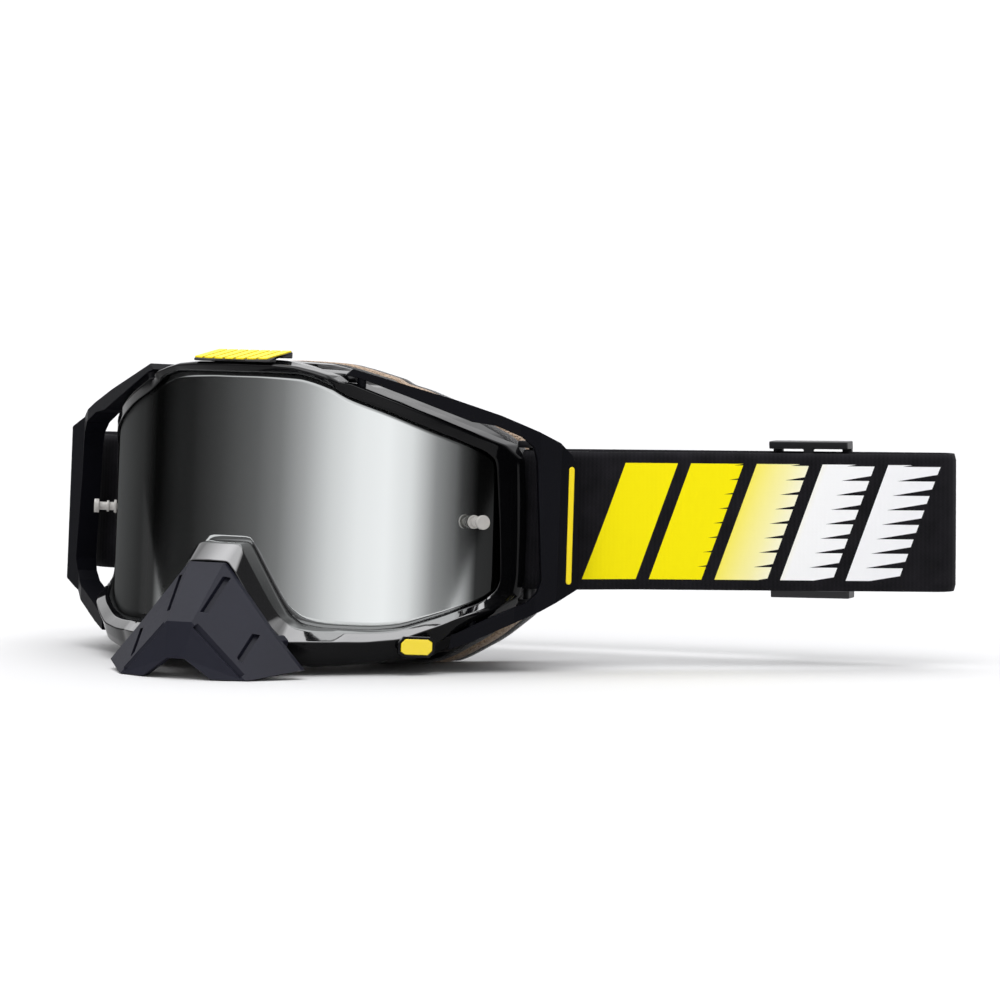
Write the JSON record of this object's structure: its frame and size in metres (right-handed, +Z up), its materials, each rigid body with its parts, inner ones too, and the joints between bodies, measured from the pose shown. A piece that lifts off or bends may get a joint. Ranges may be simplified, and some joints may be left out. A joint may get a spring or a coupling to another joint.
{
  "type": "motorcycle goggles",
  "caption": "Motorcycle goggles with a curved mirrored lens, gloss frame, faceted nose guard, side outriggers, layered face foam and a folded elastic strap.",
  "frame": {"origin": "on the table the goggles stand on, in the symmetry plane of the goggle body, straight under the axis that the lens is curved about", "axes": "+X towards the wearer's left and along the folded strap, -Y forward through the lens, +Z up"},
  "size_m": [0.2872, 0.1552, 0.0976],
  "materials": {
    "frame_gloss": "polished gloss black",
    "lens_mirror": "silver mirror coating on polycarbonate",
    "post_clear": "clear moulded plastic",
    "matte_shell": "satin dark navy charcoal",
    "yellow_insert": "satin bright yellow",
    "black_hardware": "satin black",
    "strap_webbing": "woven elastic with printed bars",
    "silicone": "translucent dark silicone beads",
    "pad_rubber": "soft dark grey rubber",
    "rib_rubber": "soft bright yellow rubber",
    "badge_yellow": "gloss domed yellow",
    "foam_black": "firm closed foam",
    "foam_tan": "soft open foam",
    "fleece": "brushed fleece",
    "filter_foam": "open-cell filter foam"
  },
  "bodies": {
    "goggle": {"frame": "frame_gloss", "outrigger_left": "matte_shell", "outrigger_right": "matte_shell", "stripe_left": "yellow_insert", "stripe_right": "yellow_insert", "strap_bar_left": "black_hardware", "strap_bar_right": "black_hardware", "strap": "strap_webbing", "silicone_grip": "silicone", "rib_pad_base": "pad_rubber", "rib_pad_ribs": "rib_rubber", "badge_bezel": "frame_gloss", "badge_plate": "badge_yellow", "foam_base_layer": "foam_black", "foam_middle_layer": "foam_tan", "foam_fleece_layer": "fleece", "top_vent_foam": "filter_foam", "bottom_vent_foam": "filter_foam"},
    "lens_unit": {"lens": "lens_mirror", "tear_off_post_left": "post_clear", "tear_off_post_right": "post_clear"},
    "guard": {"nose_guard": "matte_shell"},
    "slider_left": {"strap_slider_left": "black_hardware"},
    "slider_right": {"strap_slider_right": "black_hardware"}
  },
  "joints": [
    {"name": "lens_release", "type": "slide", "parent": "goggle", "child": "lens_unit", "axis": [0, -0.9969, 0.0785], "range_m": [0, 0.02]},
    {"name": "guard_release", "type": "slide", "parent": "goggle", "child": "guard", "axis": [0, -0.9969, 0.0785], "range_m": [0, 0.02]},
    {"name": "slider_left_adjust", "type": "slide", "parent": "goggle", "child": "slider_left", "axis": [0.9918, 0.1268, 0.0149], "range_m": [-0.015, 0.015]},
    {"name": "slider_right_adjust", "type": "slide", "parent": "goggle", "child": "slider_right", "axis": [0.9918, 0.1268, 0.0149], "range_m": [-0.015, 0.015]}
  ]
}
